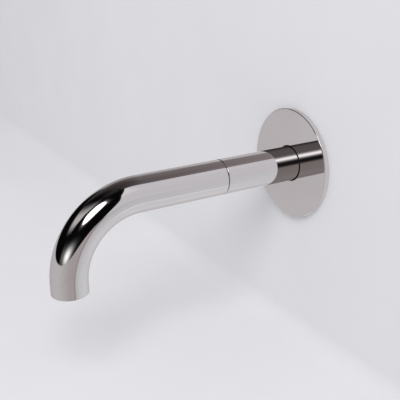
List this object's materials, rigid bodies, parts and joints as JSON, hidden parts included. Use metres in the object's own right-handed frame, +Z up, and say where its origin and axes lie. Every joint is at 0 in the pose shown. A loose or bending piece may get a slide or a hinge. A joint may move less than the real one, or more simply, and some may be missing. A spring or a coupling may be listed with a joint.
{
  "type": "wall-mounted bath spout",
  "caption": "Round tubular bath spout on a flat round wall flange, with a quarter bend down, a swivel seam and a screw-in aerator.",
  "frame": {"origin": "on the tube's axis, at the finished wall face", "axes": "+Y into the wall, the spout points along -Y, +Z up"},
  "size_m": [0.08, 0.208, 0.0975],
  "materials": {
    "polished_chrome": "mirror polished, slightly warm",
    "machined_brass": "fine turned",
    "stainless_steel": "bright machined",
    "black_rubber": "moulded",
    "foam_rubber": "closed-cell foam",
    "white_acetal": "moulded satin",
    "dark_acetal": "moulded satin"
  },
  "bodies": {
    "wall_side": {"wall_nipple": "machined_brass", "nipple_gasket": "black_rubber", "nipple_o_ring_rear": "black_rubber", "nipple_o_ring_front": "black_rubber", "rear_sleeve": "polished_chrome", "sleeve_grub_screw": "stainless_steel", "swivel_spigot": "machined_brass", "spigot_tail_o_ring": "black_rubber", "spigot_o_ring_rear": "black_rubber", "spigot_o_ring_front": "black_rubber", "glide_ring_rear": "white_acetal", "glide_ring_front": "white_acetal", "seam_washer": "dark_acetal"},
    "flange": {"wall_flange": "polished_chrome", "flange_seal": "black_rubber", "flange_gasket": "foam_rubber"},
    "spout": {"spout_tube": "polished_chrome", "spout_hub": "machined_brass", "locking_screw": "stainless_steel", "outlet_insert": "polished_chrome"},
    "aerator_carrier": {"aerator_seal": "black_rubber"},
    "aerator": {"aerator_housing": "white_acetal", "outlet_grid": "white_acetal", "mixer_ring": "dark_acetal", "jet_plate": "white_acetal", "dome_sieve": "stainless_steel"}
  },
  "joints": [
    {"name": "spout_swivel", "type": "hinge", "parent": "wall_side", "child": "spout", "pos_m": [0, -0.064, 0], "axis": [0, -1, 0], "range_deg": [-30, 30]},
    {"name": "flange_slide", "type": "slide", "parent": "wall_side", "child": "flange", "axis": [0, -1, 0], "range_m": [0, 0.05]},
    {"name": "aerator_drop", "type": "slide", "parent": "spout", "child": "aerator_carrier", "axis": [0, 0, -1], "range_m": [0, 0.004]},
    {"name": "aerator_turn", "type": "hinge", "parent": "aerator_carrier", "child": "aerator", "pos_m": [0, -0.1775, -0.0575], "axis": [0, 0, -1], "range_deg": [0, 1443]}
  ],
  "couplings": [
    {"joint": "aerator_turn", "follows": "aerator_drop", "rad_per_m": 6283.2}
  ]
}
